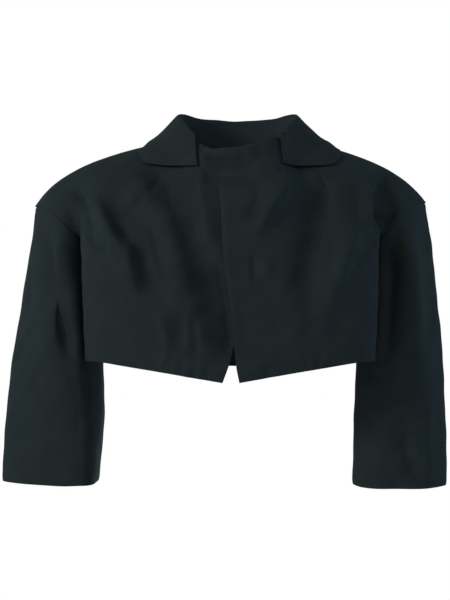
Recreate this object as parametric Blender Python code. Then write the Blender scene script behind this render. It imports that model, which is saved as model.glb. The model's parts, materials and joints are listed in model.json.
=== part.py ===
"""Cropped blazer with a turned-down collar, dropped shoulders and wide elbow-length sleeves.

The jacket keeps the hollow form that a figure gives it. Metres, +Z up, and the fronts face -Y.
Left and right are the wearer's, so the left side is at +X. The origin lies between the shoulders,
at the height of the shoulder seams, where the wearer carries the jacket.
"""
import math
from collections import namedtuple

import bmesh
import bpy
import numpy as np
from mathutils import Vector
from mathutils.bvhtree import BVHTree

# Cloth
WALL = 0.0018
SEAM_SHARE = 0.0002
LAP_LIFT = 0.0017
LAP_FADE = 0.075
REST_GAP = 0.0012
COLLAR_GAP = 0.0034
SLEEVE_GAP = 0.0040

BORDER_SLIP = 0.002
DEEPEST = 0.050
TUCK_RISE = 0.003

# Grid of each panel
FINE = 120
FRONT_COLUMNS = 20
NECK_COLUMNS = 8
BACK_COLUMNS = 34
BACK_NECK_COLUMNS = 10
BODY_ROWS = 7
YOKE_ROWS = 11
SLEEVE_ROWS = 13
COLLAR_COLUMNS = 36
STAND_ROWS, ROLL_ROWS, FALL_ROWS = 2, 3, 4
SHEARED_ROWS, SHEARED_COLUMNS, SHEARED_BLEND = 7, 4, 2
SEAM_FADE_STEPS = 3
SLEEVE_FADE_STEPS = 2
SLEEVE_HELD_STEPS = 1.5
COLLAR_HELD_STEPS = 2
RIM_ALIKE, RIM_BLEND = 0.1, 0.5

# Edges that are seams: first row, last row, first column, last column
SEWN_FRONT = (False, True, False, True)
SEWN_BACK = (False, True, True, True)
SEWN_SLEEVE = (True, False, False, False)
SEWN_COLLAR = (False, False, False, False)

# Torso
WIDEST_DEPTH = -0.040
SQUARE_FRONT = 2.5
SIDE_SEAM = math.radians(119.0)
ARMPIT = -0.145
HEM_SIDE = -0.2655
HEM_DROP_FRONT = 0.0255
HEM_DROP_BACK = 0.0125
HEM_LEVEL_FROM = 0.160
HEM_CURVE = 1.1
HEM_BACK_RUN = 0.140

Ring = namedtuple("Ring", "height half_width front back")
TORSO = (
    Ring(-0.300, 0.1765, 0.1120, 0.1040),
    Ring(-0.240, 0.1790, 0.1170, 0.1060),
    Ring(-0.190, 0.1815, 0.1180, 0.1090),
    Ring(-0.145, 0.1820, 0.1130, 0.1120),
    Ring(-0.100, 0.1800, 0.1020, 0.1130),
)

# Front edges: the left front laps over the right one above the notch at the hem
Edge = namedtuple("Edge", "height left right")
FRONT_EDGES = (
    Edge(-0.2920, 0.0112, -0.0100),
    Edge(-0.2860, 0.0080, -0.0058),
    Edge(-0.2666, 0.0062, -0.0009),
    Edge(-0.2442, 0.0043, 0.0052),
    Edge(-0.1950, -0.0004, 0.0100),
    Edge(-0.1370, -0.0086, 0.0170),
    Edge(-0.0450, -0.0160, 0.0260),
    Edge(-0.0080, -0.0293, 0.0320),
)
EDGE_PULL = 0.50
EDGE_PULL_RISE = 0.25

# Neck: the ring where the body ends, its angle counted from the centre front
NECK_X, NECK_Y = 0.0095, 0.015
NECK_HALF_WIDTH = 0.0620
NECK_FRONT, NECK_BACK = 0.0720, 0.0630
NECK_POINT = 100.0

Neckline = namedtuple("Neckline", "angle left right")
NECK_HEIGHTS = (
    Neckline(-40.0, -0.0075, -0.0090),
    Neckline(0.0, -0.0085, -0.0085),
    Neckline(20.0, -0.0005, -0.0080),
    Neckline(34.0, 0.0085, -0.0072),
    Neckline(50.0, 0.0100, 0.0030),
    Neckline(72.0, 0.0125, 0.0128),
    Neckline(100.0, 0.0185, 0.0185),
    Neckline(140.0, 0.0090, 0.0090),
    Neckline(180.0, 0.0036, 0.0036),
)

# How a column of the panel leaves the armpit level and how it reaches the top edge
Column = namedtuple("Column", "share leave_side leave_back leave_up reach_side reach_back reach_up")
FRONT_SHAPE = (
    Column(0.00, 0.000, 0.020, 0.130, 0.000, 0.050, 0.110),
    Column(0.20, 0.000, 0.020, 0.130, 0.000, 0.060, 0.110),
    Column(0.40, 0.000, 0.010, 0.150, 0.010, 0.110, 0.060),
    Column(0.70, 0.020, -0.010, 0.170, 0.020, 0.160, 0.030),
    Column(0.88, 0.030, -0.110, 0.120, 0.060, 0.200, 0.020),
    Column(1.00, 0.130, -0.260, 0.130, 0.120, 0.260, 0.010),
)
BACK_SHAPE = (
    Column(0.00, 0.000, 0.030, 0.160, 0.000, -0.060, 0.060),
    Column(0.36, 0.000, 0.030, 0.170, 0.010, -0.110, 0.050),
    Column(0.70, 0.010, 0.030, 0.180, 0.020, -0.150, 0.030),
    Column(0.88, 0.020, 0.140, 0.110, 0.060, -0.190, 0.020),
    Column(1.00, 0.060, 0.250, 0.090, 0.120, -0.240, 0.010),
)

# The two arms
Arm = namedtuple(
    "Arm",
    "name sign end_x end_y end_z seam_out seam_drop cuff_out cuff_in cuff_z swell lean fore inner outer",
)
LEFT = Arm(
    "left", 1, 0.2515, 0.042, -0.0665, 0.100, 0.150, 0.2790, 0.1560, -0.4270, 0.060, 0.000,
    0.020, 0.006, 0.055,
)
RIGHT = Arm(
    "right", -1, 0.2500, 0.042, -0.0715, 0.100, 0.175, 0.2925, 0.1665, -0.4220, 0.040, 0.050,
    0.045, 0.023, 0.014,
)
SHOULDER_FALL = 0.055
SHOULDER_LEAVE = 0.205
SHOULDER_BACKWARD = 0.010
CUFF_DEPTH = 0.054
CUFF_HALF_DEPTH = 0.049
SLEEVE_LEAVE = 0.330
SLEEVE_REACH = 0.360
UNDERARM_OUT = 0.120
UNDERARM_TURN = math.radians(120.0)
UNDERARM_SPREAD = math.radians(38.0)
UNDERARM_DROP = 0.230
INNER_OUT = 0.012
FORE_TURN = math.radians(118.0)
FORE_SPREAD = math.radians(44.0)
FORE_START = 0.35
INNER_TOP = 0.186
INNER_CUFF = 0.172
INNER_WIDTH = 0.014
INNER_FADE = 0.35
OUTER_TURN = math.radians(60.0)
OUTER_SPREAD = math.radians(22.0)
ROW_CROWDING = 1.45

# Collar: stand height, roll and outer edge, by the angle round the neck
Collar = namedtuple("Collar", "angle roll_out roll_height edge_height")
COLLAR = (
    Collar(52.0, 0.0010, 0.0170, -0.0260),
    Collar(75.0, 0.0060, 0.0330, -0.0200),
    Collar(105.0, 0.0100, 0.0460, 0.0050),
    Collar(140.0, 0.0110, 0.0450, 0.0020),
    Collar(180.0, 0.0110, 0.0425, -0.0040),
)
COLLAR_LIFT = 0.0006
ROLL_RADIUS = 0.0042
ROLL_TURN = math.radians(144.0)
FALL_SAG = 0.004
EDGE_X, EDGE_Y = 0.0115, 0.018
EDGE_HALF_WIDTH = 0.1280
EDGE_FRONT, EDGE_BACK = 0.0730, 0.1020
EDGE_SQUARE_FRONT, EDGE_SQUARE_BACK = 3.2, 2.4
EDGE_CLOSING = 2.0
LAY, LAY_MOST = 0.85, 0.026
LAY_CLEAR = 0.0075
LAY_FADE = 0.030

# Largest folds, as soft troughs (below 0) and ridges, from one point to another in the front view
Fold = namedtuple("Fold", "x0 z0 x1 z1 width depth")
FRONT_FOLDS = (
    Fold(-0.138, -0.060, -0.124, -0.112, 0.011, -0.0045),
    Fold(-0.106, -0.100, -0.089, -0.185, 0.013, -0.0065),
    Fold(-0.078, -0.070, -0.046, -0.190, 0.012, 0.0045),
    Fold(-0.052, -0.070, -0.012, -0.225, 0.013, -0.0045),
    Fold(0.052, -0.050, 0.024, -0.115, 0.010, 0.0040),
    Fold(0.102, -0.105, 0.094, -0.190, 0.015, -0.0055),
    Fold(0.130, -0.050, 0.143, -0.095, 0.009, 0.0035),
    Fold(0.144, -0.112, 0.118, -0.192, 0.012, 0.0045),
)
BACK_FOLDS = (
    Fold(-0.120, -0.075, -0.090, -0.185, 0.014, -0.0050),
    Fold(-0.050, -0.110, -0.040, -0.235, 0.015, 0.0035),
    Fold(0.062, -0.085, 0.055, -0.220, 0.014, -0.0040),
    Fold(0.128, -0.080, 0.100, -0.180, 0.013, -0.0045),
)
SLEEVE_FOLDS = {
    "left": (
        Fold(0.204, -0.100, 0.200, -0.262, 0.014, -0.0040),
        Fold(0.226, -0.330, 0.246, -0.415, 0.011, -0.0035),
    ),
    "right": (
        Fold(-0.219, -0.098, -0.206, -0.225, 0.012, -0.0022),
        Fold(-0.206, -0.225, -0.176, -0.262, 0.012, -0.0028),
    ),
}

CLOTH = (0.011, 0.016, 0.018, 1.0)


def through(table, column, at):
    """A smooth curve through one column of a table, the first column being where each row stands."""
    places = np.array([row[0] for row in table])
    values = np.array([getattr(row, column) for row in table])
    slopes = np.gradient(values, places)
    at = np.clip(np.asarray(at, float), places[0], places[-1])
    row = np.clip(np.searchsorted(places, at) - 1, 0, len(places) - 2)
    step = places[row + 1] - places[row]
    w = (at - places[row]) / step
    leave, reach = slopes[row] * step, slopes[row + 1] * step
    return hermite(values[row], leave, values[row + 1], reach, w)


def hermite(start, leave, end, reach, w):
    """A cubic from start to end that sets off along leave and comes in along reach."""
    rest = 1 - w
    return (
        (1 + 2 * w) * rest**2 * start
        + w * rest**2 * leave
        + w**2 * (3 - 2 * w) * end
        - w**2 * rest * reach
    )


def smooth(value):
    value = np.clip(value, 0, 1)
    return value * value * (3 - 2 * value)


def unit(vectors):
    return vectors / np.maximum(np.linalg.norm(vectors, axis=-1, keepdims=True), 1e-12)


def evenly(path, count):
    """Points at even distances along a path."""
    run = np.concatenate([[0], np.cumsum(np.linalg.norm(np.diff(path, axis=0), axis=1))])
    wanted = np.linspace(0, run[-1], count)
    return np.stack([np.interp(wanted, run, path[:, axis]) for axis in range(3)], axis=1)


def hem_height(x, y):
    """The hem dips to the centre front and a little to the centre back."""
    front = np.clip(1 - np.abs(x) / HEM_LEVEL_FROM, 0, 1) ** HEM_CURVE * HEM_DROP_FRONT
    back = smooth((y - WIDEST_DEPTH) / HEM_BACK_RUN) * HEM_DROP_BACK
    return HEM_SIDE - np.where(y < WIDEST_DEPTH, front, back)


def ring_points(height, angles, start):
    """One side of the torso's section at a height, x counted to that side.

    Angles under 90 degrees run over the front from where x is start, larger ones round the side.
    """
    width = through(TORSO, "half_width", height)
    front, back = (through(TORSO, name, height) for name in ("front", "back"))
    first = math.asin(start / width)
    turn = np.where(angles < math.pi / 2, first + angles / (math.pi / 2) * (math.pi / 2 - first), angles)
    x = width * np.sin(turn)
    fill = (1 - np.minimum(np.abs(x / width), 1) ** SQUARE_FRONT) ** (1 / SQUARE_FRONT)
    y_front = WIDEST_DEPTH - (front + WIDEST_DEPTH) * fill
    y_back = WIDEST_DEPTH - (back - WIDEST_DEPTH) * np.cos(turn)
    return x, np.where(angles < math.pi / 2, y_front, y_back)


def level(share, sign, angles, count, start):
    """A row of the body, from share 0 at the hem to 1 at the armpit."""
    guess = HEM_SIDE + share * (ARMPIT - HEM_SIDE)
    x, y = ring_points(guess, angles, start)
    hem = hem_height(x, y)
    return evenly(np.stack([sign * x, y, hem + share * (ARMPIT - hem)], axis=1), count)


def neck(angles, side):
    """The ring round the neck; angles in degrees, counted from the centre front to that side."""
    turn = np.radians(angles)
    reach = np.where(np.cos(turn) > 0, NECK_FRONT, NECK_BACK)
    x = NECK_X + side.sign * NECK_HALF_WIDTH * np.sin(turn)
    return np.stack([x, NECK_Y - reach * np.cos(turn), through(NECK_HEIGHTS, side.name, angles)], axis=-1)


def shoulder(side, count):
    """The shoulder seam, from the neck out to where the sleeve is set."""
    start = neck(np.array(NECK_POINT), side)
    end = np.array([side.sign * side.end_x, side.end_y, side.end_z])
    leave = np.array([side.sign * SHOULDER_LEAVE, SHOULDER_BACKWARD, -SHOULDER_FALL])
    reach = np.array([side.sign * side.seam_out, SHOULDER_BACKWARD, -side.seam_drop])
    w = np.linspace(0, 1, FINE)[:, None]
    return evenly(hermite(start, leave, end, reach, w), count)


def yoke(rows, low, top, shape, shares, signs):
    """The panel above the armpit: a column from each point of the row low to one of the row top."""
    leave, reach = (
        np.stack(
            [through(shape, f"{way}_{axis}", shares) * scale for axis, scale in
             (("side", signs), ("back", 1), ("up", 1))],
            axis=1,
        )
        for way in ("leave", "reach")
    )
    return np.stack([hermite(low, leave, top, reach, w) for w in np.linspace(0, 1, rows + 1)])


def front_edge(height, side):
    return float(through(FRONT_EDGES, side.name, height))


def front_form(side):
    """The grid of a front, rows from the hem to the shoulder, columns from the front edge to the side."""
    angles = np.linspace(0, SIDE_SEAM, 2 * FINE)
    count = FRONT_COLUMNS + 1
    rows = []
    for share in np.linspace(0, 1, BODY_ROWS + 1):
        low = HEM_SIDE - HEM_DROP_FRONT
        start = side.sign * front_edge(low + share * (ARMPIT - low), side)
        rows.append(level(share, side.sign, angles, count, start))
    first = math.degrees(math.asin((side.sign * (front_edge(0, side) - NECK_X)) / NECK_HALF_WIDTH))
    ring = evenly(neck(np.linspace(first, NECK_POINT, FINE), side), NECK_COLUMNS + 1)
    top = np.concatenate([ring, shoulder(side, count - NECK_COLUMNS)[1:]])
    shares = np.linspace(0, 1, count)
    upper = yoke(YOKE_ROWS, rows[-1], top, FRONT_SHAPE, shares, side.sign)
    edge = np.array([front_edge(height, side) for height in upper[:, 0, 2]])
    pull = (edge - upper[:, 0, 0])[:, None] * smooth(1 - shares / EDGE_PULL)[None, :]
    upper[..., 0] += pull * smooth(np.linspace(0, 1, YOKE_ROWS + 1) / EDGE_PULL_RISE)[:, None]
    return np.concatenate([np.stack(rows[:-1]), upper])


def back_form():
    """The grid of the back, rows from the hem to the shoulders, columns from the right side to the left."""
    count = BACK_COLUMNS + 1
    turn = np.linspace(SIDE_SEAM, math.pi, FINE)
    rows = []
    for share in np.linspace(0, 1, BODY_ROWS + 1):
        halves = [level(share, side.sign, turn, FINE, 0.0) for side in (RIGHT, LEFT)]
        rows.append(evenly(np.concatenate([halves[0], halves[1][-2::-1]]), count))
    ring = np.concatenate(
        [neck(np.linspace(NECK_POINT, 180, FINE), RIGHT), neck(np.linspace(180, NECK_POINT, FINE), LEFT)[1:]]
    )
    side_count = (BACK_COLUMNS - BACK_NECK_COLUMNS) // 2 + 1
    top = np.concatenate(
        [
            shoulder(RIGHT, side_count)[:0:-1],
            evenly(ring, BACK_NECK_COLUMNS + 1),
            shoulder(LEFT, side_count)[1:],
        ]
    )
    across = np.linspace(-1, 1, count)
    upper = yoke(YOKE_ROWS, rows[-1], top, BACK_SHAPE, np.abs(across), np.sign(across))
    return np.concatenate([np.stack(rows[:-1]), upper])


def facing(grid):
    """The normals of a grid that point away from the body."""
    down = np.gradient(grid, axis=0)
    across = np.gradient(grid, axis=1)
    return unit(np.cross(across, down))


def folded(grid, normals, folds, seam_fade=None):
    """The grid with soft troughs and ridges, each a line in the front view."""
    depth = np.zeros(grid.shape[:2])
    for fold in folds:
        start, end = np.array([fold.x0, fold.z0]), np.array([fold.x1, fold.z1])
        run = end - start
        offset = grid[..., (0, 2)] - start
        along = np.clip(offset @ run / (run @ run), 0, 1)
        apart = np.linalg.norm(offset - along[..., None] * run, axis=-1)
        depth += fold.depth * np.exp(-((apart / fold.width) ** 2))
    if seam_fade is not None:
        depth *= seam_fade
    return grid + normals * depth[..., None]


def edge_fade(shape, sides):
    """One inside a grid and nothing at the edges that sides names as seams."""
    rows, columns = np.indices(shape)
    away = (rows, shape[0] - 1 - rows, columns, shape[1] - 1 - columns)
    fade = np.ones(shape)
    for steps, kept in zip(away, sides):
        if kept:
            fade *= smooth(steps / SEAM_FADE_STEPS)
    return fade


def drawn_in(grid, sides):
    """The grid with its seam edges drawn back by their share of the gap between two pieces."""
    grid = grid.copy()
    for kept, edge, inner in zip(sides, ((0,), (-1,), (slice(None), 0), (slice(None), -1)),
                                 ((1,), (-2,), (slice(None), 1), (slice(None), -2))):
        if kept:
            grid[edge] += SEAM_SHARE * unit(grid[inner] - grid[edge])
    return grid


def surface_tree(*grids):
    """A search tree over grids of points."""
    points, faces = [], []
    for grid in grids:
        rows, columns = grid.shape[:2]
        index = np.arange(rows * columns).reshape(rows, columns) + len(points)
        corners = (index[:-1, :-1], index[:-1, 1:], index[1:, 1:], index[1:, :-1])
        faces += np.stack([corner.ravel() for corner in corners], axis=1).tolist()
        points += grid.reshape(-1, 3).tolist()
    return BVHTree.FromPolygons(points, faces)


def held_off(grid, tree, gap, share=None):
    """The grid moved out of a body until it clears it by gap, or by a share of it for each point."""
    moved = grid.copy()
    for index in np.ndindex(grid.shape[:2]):
        point = Vector(grid[index])
        near, normal, _, _ = tree.find_nearest(point)
        away = (point - near).dot(normal)
        beside = (point - near - normal * away).length
        want = gap if share is None else gap * share[index]
        if -DEEPEST < away < want and beside < BORDER_SLIP:
            moved[index] = np.array(point + normal * (want - away))
    return moved


def rim_paths(rows, columns, closed):
    """The open borders of a grid, as lists of row and column."""
    first = [(0, column) for column in range(columns)]
    last = [(rows - 1, column) for column in range(columns)]
    if closed:
        return [first, last]
    right = [(row, columns - 1) for row in range(1, rows - 1)]
    left = [(row, 0) for row in range(1, rows - 1)]
    return [first + right + last[::-1] + left[::-1] + first[:1]]


def join_sheets(name, outer, inner, closed=False):
    """A wall of cloth between two grids, joined at their rims; a tube is sewn along its seam."""
    mesh = bmesh.new()
    rows, columns = outer.shape[:2]
    sheets = []
    for grid in (outer, inner):
        made = bmesh.ops.create_grid(mesh, x_segments=columns - 1, y_segments=rows - 1, size=1.0)
        laid = {}
        for vertex in made["verts"]:
            column = round((vertex.co.x + 1) / 2 * (columns - 1))
            row = round((vertex.co.y + 1) / 2 * (rows - 1))
            vertex.co = grid[row, column]
            laid[row, column] = vertex
        sheets.append(laid)
    for path in rim_paths(rows, columns, closed):
        for here, there in zip(path, path[1:]):
            mesh.faces.new((sheets[0][here], sheets[0][there], sheets[1][there], sheets[1][here]))
    if closed:
        bmesh.ops.remove_doubles(mesh, verts=mesh.verts, dist=1e-6)
    bmesh.ops.recalc_face_normals(mesh, faces=mesh.faces)
    data = bpy.data.meshes.new(name)
    mesh.to_mesh(data)
    mesh.free()
    return data


def cloth_material(name):
    material = bpy.data.materials.new(name)
    material.use_nodes = True
    surface = material.node_tree.nodes["Principled BSDF"]
    surface.inputs["Base Color"].default_value = CLOTH
    surface.inputs["Roughness"].default_value = 0.85
    return material


def place(collection, parent, name, data):
    piece = bpy.data.objects.new(name, data)
    data.materials.append(cloth_material(f"{name}_cloth"))
    collection.objects.link(piece)
    piece.parent = parent
    return piece


def lap(grid, normals, side):
    """Lifts the left front over the right one near the front edge."""
    columns = np.abs(grid[..., 0] - grid[:, :1, 0])
    lift = LAP_LIFT * smooth(1 - columns / LAP_FADE)
    return grid + normals * lift[..., None] if side is LEFT else grid


def tucked(grid, tree):
    """The grid moved in under a piece that laps over it, less and less beyond that piece's edge."""
    moved = grid.copy()
    for index in np.ndindex(grid.shape[:2]):
        point = Vector(grid[index])
        near, normal, _, _ = tree.find_nearest(point)
        above = (point - near).dot(normal)
        beyond = (point - near - normal * above).length
        limit = -(WALL + REST_GAP) + (WALL + REST_GAP + TUCK_RISE) * (beyond / LAP_FADE)
        if beyond < LAP_FADE and above > limit:
            moved[index] = np.array(point + normal * (limit - above))
    return moved


def build_front(side):
    """Outer grid and normals of a front."""
    grid = front_form(side)
    normals = facing(grid) * side.sign
    fade = edge_fade(grid.shape[:2], SEWN_FRONT)
    grid = folded(grid, normals, FRONT_FOLDS, fade)
    return lap(grid, normals, side), settled(normals)


def settled(normals):
    """The normals with those by the lower armhole, where the grid is sheared, taken from further in."""
    rows, columns = np.indices(normals.shape[:2])
    lower = smooth((BODY_ROWS + SHEARED_ROWS - rows) / SHEARED_BLEND) * (rows > BODY_ROWS)
    outer = smooth((columns - FRONT_COLUMNS + SHEARED_COLUMNS) / SHEARED_BLEND)
    blend = (lower * outer)[..., None]
    sound = normals[:, FRONT_COLUMNS - SHEARED_COLUMNS][:, None]
    return unit(normals * (1 - blend) + sound * blend)


def build_back():
    grid = back_form()
    normals = -facing(grid)
    fade = edge_fade(grid.shape[:2], SEWN_BACK)
    return folded(grid, normals, BACK_FOLDS, fade), normals


def armhole(front, back, side):
    """The loop where the sleeve is set: from the shoulder over the front to the underarm and up the back."""
    back_edge = back[BODY_ROWS:, -1 if side is LEFT else 0]
    return np.concatenate([front[BODY_ROWS:, -1][::-1], back_edge[1:]])


def sleeve_form(loop, side):
    """The grid of a sleeve, rows from the armhole to the cuff, columns round the arm from the shoulder."""
    count = len(loop)
    turn = np.linspace(0, 2 * math.pi, count)
    middle = side.sign * (side.cuff_out + side.cuff_in) / 2
    half = (side.cuff_out - side.cuff_in) / 2
    cuff = np.stack(
        [
            middle + side.sign * half * np.cos(turn),
            CUFF_DEPTH - CUFF_HALF_DEPTH * np.sin(turn),
            np.full(count, side.cuff_z),
        ],
        axis=1,
    )
    under = (1 - np.cos(turn)) / 2
    out = side.swell + (INNER_OUT - side.swell) * under
    out += UNDERARM_OUT * np.exp(-(((turn - UNDERARM_TURN) / UNDERARM_SPREAD) ** 2))
    drop = SLEEVE_LEAVE + (UNDERARM_DROP - SLEEVE_LEAVE) * under
    leave = np.stack([side.sign * out, np.zeros(count), -drop], axis=1)
    reach = np.stack([side.sign * side.lean * under, np.zeros(count), np.full(count, -SLEEVE_REACH)], axis=1)
    shares = np.linspace(0, 1, SLEEVE_ROWS + 1) ** ROW_CROWDING
    grid = np.stack([hermite(loop, leave, cuff, reach, w) for w in shares])
    fore = side.fore * np.exp(-(((turn - FORE_TURN) / FORE_SPREAD) ** 2))
    fore += side.outer * np.exp(-(((turn - OUTER_TURN) / OUTER_SPREAD) ** 2))
    centre = (INNER_TOP + (INNER_CUFF - INNER_TOP) * shares)[:, None]
    inner = side.inner * np.exp(-(((np.abs(grid[..., 0]) - centre) / INNER_WIDTH) ** 2))
    inner *= smooth(np.sin(turn) / INNER_FADE) * (turn < math.pi)
    grid[..., 1] -= smooth(shares / FORE_START)[:, None] * (fore * under + inner)
    return grid


def build_sleeve(front, back, tree, side):
    """Outer grid and normals of a sleeve, held off the body below the armhole."""
    grid = sleeve_form(armhole(front, back, side), side)
    normals = tube_facing(grid) * side.sign
    rows = np.indices(grid.shape[:2])[0]
    fade = smooth(rows / SLEEVE_FADE_STEPS) * (grid[..., 1] < CUFF_DEPTH)
    grid = folded(grid, normals, SLEEVE_FOLDS[side.name], fade)
    return held_off(grid, tree, SLEEVE_GAP, smooth(rows / SLEEVE_HELD_STEPS)), normals


def tube_facing(grid):
    """The normals of a tube whose first and last column are one seam."""
    wrapped = np.concatenate([grid[:, -2:-1], grid, grid[:, 1:2]], axis=1)
    return unit(np.cross(np.gradient(wrapped, axis=1), np.gradient(wrapped, axis=0)))[:, 1:-1]


def shared(first, second):
    """Rim directions for two edges sewn together, made one where the cloth runs on smoothly."""
    blend = smooth((np.sum(first * second, axis=-1, keepdims=True) - RIM_ALIKE) / RIM_BLEND)
    return unit(first + blend * second), unit(second + blend * first)


def collar_form():
    """The grid of the collar: rows from the neck seam over the roll to the outer edge."""
    first = COLLAR[0].angle
    columns = np.linspace(first - 180, 180 - first, COLLAR_COLUMNS + 1)
    rows = []
    for column in columns:
        side = RIGHT if column < 0 else LEFT
        angle = 180 - abs(column)
        turn = math.radians(angle)
        seam = neck(np.array(angle), side) + np.array([0, 0, COLLAR_LIFT])
        out = np.array([side.sign * math.sin(turn), -math.cos(turn), 0])
        top = seam + out * through(COLLAR, "roll_out", angle)
        top[2] = through(COLLAR, "roll_height", angle)
        rows.append(collar_section(seam, top, collar_edge(angle, side), out))
    return np.stack(rows, axis=1)


def collar_edge(angle, side):
    """A point of the collar's outer edge, on a squared oval round the neck."""
    turn = math.radians(angle)
    fore = math.cos(turn) > 0
    power = 2 / (EDGE_SQUARE_FRONT if fore else EDGE_SQUARE_BACK)
    reach = EDGE_FRONT if fore else -EDGE_BACK
    opened = math.radians(90 - (90 - angle) * EDGE_CLOSING) if fore else turn
    x = EDGE_X + side.sign * EDGE_HALF_WIDTH * math.sin(opened) ** power
    y = EDGE_Y - reach * abs(math.cos(opened)) ** power
    return np.array([x, y, through(COLLAR, "edge_height", angle)])


def collar_section(seam, top, edge, out):
    """One section of the collar: the stand, the roll and the fall."""
    crown = top + out * ROLL_RADIUS
    up = np.array([0, 0, 1.0])
    stand = [seam + (top - up * ROLL_RADIUS - seam) * w for w in np.linspace(0, 1, STAND_ROWS + 1)]
    roll = [
        crown - up * ROLL_RADIUS - out * ROLL_RADIUS * math.cos(turn) + up * ROLL_RADIUS * math.sin(turn)
        for turn in np.linspace(0, ROLL_TURN, ROLL_ROWS + 1)[1:]
    ]
    start = roll[-1]
    fall = [
        start + (edge - start) * w - up * FALL_SAG * 4 * w * (1 - w)
        for w in np.linspace(0, 1, FALL_ROWS + 1)[1:]
    ]
    return np.stack(stand + roll + fall)


def sew_shoulders(fronts, back_normals):
    """One rim direction for each front and the back along the shoulder seams."""
    sewn = slice(NECK_COLUMNS, None)
    span = slice(-(FRONT_COLUMNS - NECK_COLUMNS + 1), None)
    for side, (_, normals) in fronts.items():
        order = np.arange(BACK_COLUMNS + 1)[:: 1 if side is LEFT else -1][span]
        normals[-1, sewn], back_normals[-1, order] = shared(normals[-1, sewn], back_normals[-1, order])


def sew_sleeve(normals, back_normals, sleeve_normals, side):
    """One rim direction for the body and the sleeve where the armhole seam runs on smoothly."""
    set_in = slice(BODY_ROWS, None)
    half = YOKE_ROWS + 1
    edge = -1 if side is LEFT else 0
    normals[set_in, -1], turned = shared(normals[set_in, -1], sleeve_normals[0, :half][::-1])
    sleeve_normals[0, :half] = turned[::-1]
    back_normals[set_in, edge], sleeve_normals[0, half - 1:] = shared(
        back_normals[set_in, edge], sleeve_normals[0, half - 1:]
    )
    top = unit(normals[-1, -1] + back_normals[-1, edge] + sleeve_normals[0, 0])
    normals[-1, -1] = back_normals[-1, edge] = sleeve_normals[0, 0] = sleeve_normals[0, -1] = top


def wall(name, grid, normals, cut, closed=False):
    """A piece of cloth below its outer grid, drawn in at the seams that cut names."""
    inner = grid - WALL * normals
    return join_sheets(name, drawn_in(grid, cut), drawn_in(inner, cut), closed)


def laid_back(grid, tree):
    """The collar with the front of its fall laid back towards the fronts."""
    laid = grid.copy()
    roll = STAND_ROWS + ROLL_ROWS
    for row, column in np.ndindex(grid.shape[:2]):
        point = grid[row, column]
        hit = tree.ray_cast(Vector((point[0], -1.0, point[2])), Vector((0.0, 1.0, 0.0)))[0]
        if row > roll and hit is not None:
            spare = min(hit.y - point[1] - LAY_CLEAR, LAY_MOST)
            share = LAY * smooth((row - roll) / FALL_ROWS) * smooth(-point[1] / LAY_FADE)
            laid[row, column, 1] += max(spare, 0.0) * share
    return laid


def build_collar(tree):
    """Outer grid and normals of the collar, its roll and fall held off the body."""
    grid = laid_back(collar_form(), tree)
    rows = np.indices(grid.shape[:2])[0]
    grid = held_off(grid, tree, WALL + COLLAR_GAP, smooth((rows - STAND_ROWS) / COLLAR_HELD_STEPS))
    return grid, facing(grid)


def main():
    for old in list(bpy.data.objects):
        bpy.data.objects.remove(old, do_unlink=True)
    collection = bpy.data.collections.new("cropped_blazer")
    bpy.context.scene.collection.children.link(collection)
    root = bpy.data.objects.new("blazer", None)
    collection.objects.link(root)

    fronts = {side: build_front(side) for side in (LEFT, RIGHT)}
    fronts[RIGHT] = tucked(fronts[RIGHT][0], surface_tree(fronts[LEFT][0])), fronts[RIGHT][1]
    back, back_normals = build_back()
    sew_shoulders(fronts, back_normals)
    tree = surface_tree(fronts[LEFT][0], fronts[RIGHT][0][:, ::-1], back[:, ::-1])
    collar, collar_normals = build_collar(tree)

    for side, (grid, normals) in fronts.items():
        sleeve, sleeve_normals = build_sleeve(grid, back, tree, side)
        sew_sleeve(normals, back_normals, sleeve_normals, side)
        name = f"sleeve_{side.name}"
        place(collection, root, name, wall(name, sleeve, sleeve_normals, SEWN_SLEEVE, closed=True))
        name = f"front_{side.name}"
        place(collection, root, name, wall(name, grid, normals, SEWN_FRONT))
    place(collection, root, "back", wall("back", back, back_normals, SEWN_BACK))
    place(collection, root, "collar", wall("collar", collar, collar_normals, SEWN_COLLAR))


main()
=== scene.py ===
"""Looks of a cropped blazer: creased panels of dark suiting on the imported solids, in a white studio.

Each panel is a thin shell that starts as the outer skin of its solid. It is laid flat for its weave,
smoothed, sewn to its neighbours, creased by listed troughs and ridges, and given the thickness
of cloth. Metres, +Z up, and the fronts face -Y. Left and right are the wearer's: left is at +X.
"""
import json
import logging
import math
from dataclasses import dataclass, field
from enum import Enum
from typing import Any

import bpy
import numpy as np
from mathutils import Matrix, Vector
from mathutils.kdtree import KDTree

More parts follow.
